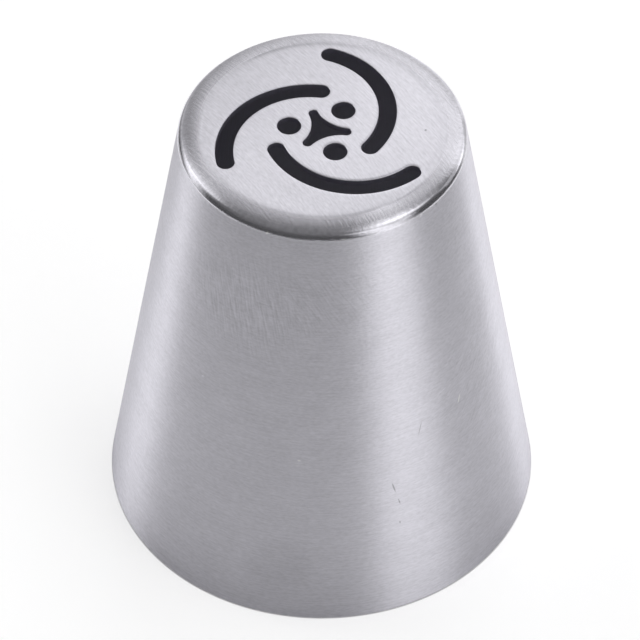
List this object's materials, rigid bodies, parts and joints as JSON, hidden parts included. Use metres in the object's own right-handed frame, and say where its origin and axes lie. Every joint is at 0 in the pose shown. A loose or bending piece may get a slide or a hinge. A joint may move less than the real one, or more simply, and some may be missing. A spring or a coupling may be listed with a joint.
{
  "type": "piping nozzle",
  "caption": "Conical stainless steel icing nozzle with a flat outlet face, pierced with a star, round holes and swirling slots that pipe a flower in one press.",
  "frame": {"origin": "centre of the open rim's plane, on which the nozzle stands", "axes": "+Z along the nozzle's axis, from the wide open rim up to the outlet face; +X to the right and +Y away from the viewer as the nozzle was pictured"},
  "size_m": [0.034, 0.034, 0.0375],
  "materials": {
    "brushed_stainless": "satin, brushed round the cone and straight across the outlet face"
  },
  "bodies": {
    "root": {"nozzle_shell": "brushed_stainless"}
  },
  "joints": []
}
